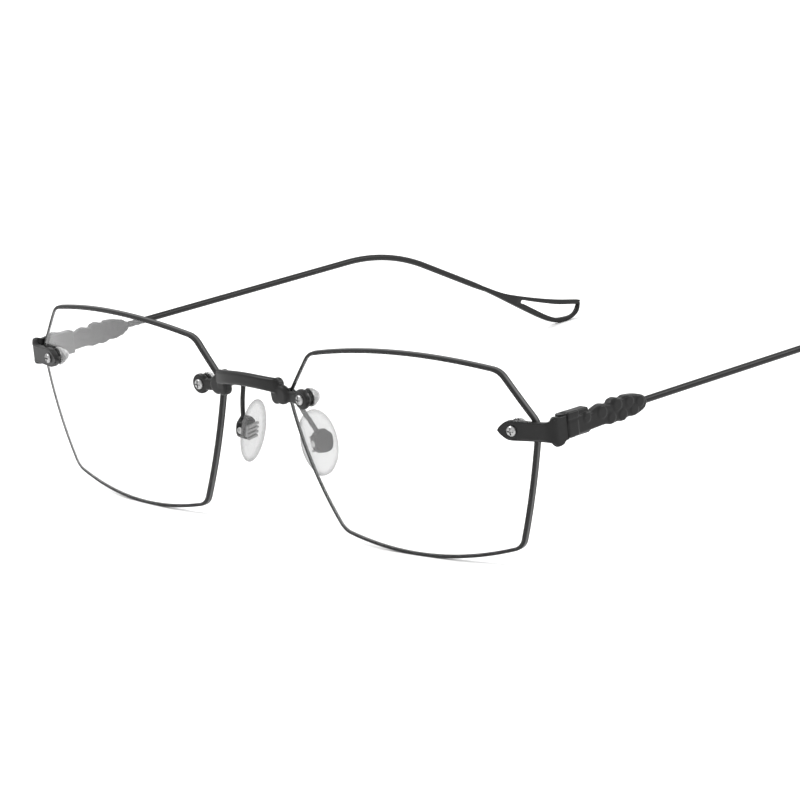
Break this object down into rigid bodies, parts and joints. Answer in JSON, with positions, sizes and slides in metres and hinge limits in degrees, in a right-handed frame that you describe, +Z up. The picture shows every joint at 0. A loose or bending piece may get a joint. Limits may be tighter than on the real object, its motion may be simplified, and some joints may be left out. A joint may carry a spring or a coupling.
{
  "type": "rimless eyeglasses",
  "caption": "Rimless eyeglasses: drilled clear lenses, cast bridge, folding wire temples with open loop tips and rocking nose pads.",
  "frame": {"origin": "middle of the floor area under the open glasses, which stand on the lens bottoms and the temple tips", "axes": "+X the wearer's left, +Y from the lenses back along the open temples, +Z up"},
  "size_m": [0.139, 0.1464, 0.036],
  "materials": {
    "lens": "clear, coated",
    "edge_band": "satin black",
    "black_metal": "satin black",
    "steel": "turned",
    "clear_plastic": "clear",
    "silicone": "soft, translucent"
  },
  "bodies": {
    "front": {"left_lens": "lens", "right_lens": "lens", "left_lens_edge": "edge_band", "right_lens_edge": "edge_band", "bridge": "black_metal", "left_end_piece": "black_metal", "right_end_piece": "black_metal", "left_lens_screws": "steel", "right_lens_screws": "steel", "left_lens_sleeves": "clear_plastic", "right_lens_sleeves": "clear_plastic", "left_back_washers": "black_metal", "right_back_washers": "black_metal", "left_lens_nuts": "steel", "right_lens_nuts": "steel", "left_nut_caps": "clear_plastic", "right_nut_caps": "clear_plastic", "left_pad_arm": "black_metal", "right_pad_arm": "black_metal", "left_pad_screw": "steel", "right_pad_screw": "steel"},
    "left_temple": {"left_temple_casting": "black_metal", "left_temple_wire": "black_metal", "left_hinge_screw": "steel"},
    "right_temple": {"right_temple_casting": "black_metal", "right_temple_wire": "black_metal", "right_hinge_screw": "steel"},
    "left_pad": {"left_nose_pad": "silicone", "left_pad_core": "steel"},
    "right_pad": {"right_nose_pad": "silicone", "right_pad_core": "steel"}
  },
  "joints": [
    {"name": "left_temple_fold", "type": "hinge", "parent": "front", "child": "left_temple", "pos_m": [0.06799, -0.06215, 0.0246], "axis": [0, 0, 1], "range_deg": [0, 90]},
    {"name": "right_temple_fold", "type": "hinge", "parent": "front", "child": "right_temple", "pos_m": [-0.06799, -0.06215, 0.0246], "axis": [0, 0, -1], "range_deg": [0, 84]},
    {"name": "left_pad_rock", "type": "hinge", "parent": "front", "child": "left_pad", "pos_m": [0.0105, -0.0646, 0.0161], "axis": [0.2419, 0.9703, 0], "range_deg": [-4, 4]},
    {"name": "right_pad_rock", "type": "hinge", "parent": "front", "child": "right_pad", "pos_m": [-0.0105, -0.0646, 0.0161], "axis": [-0.2419, 0.9703, 0], "range_deg": [-4, 4]}
  ]
}
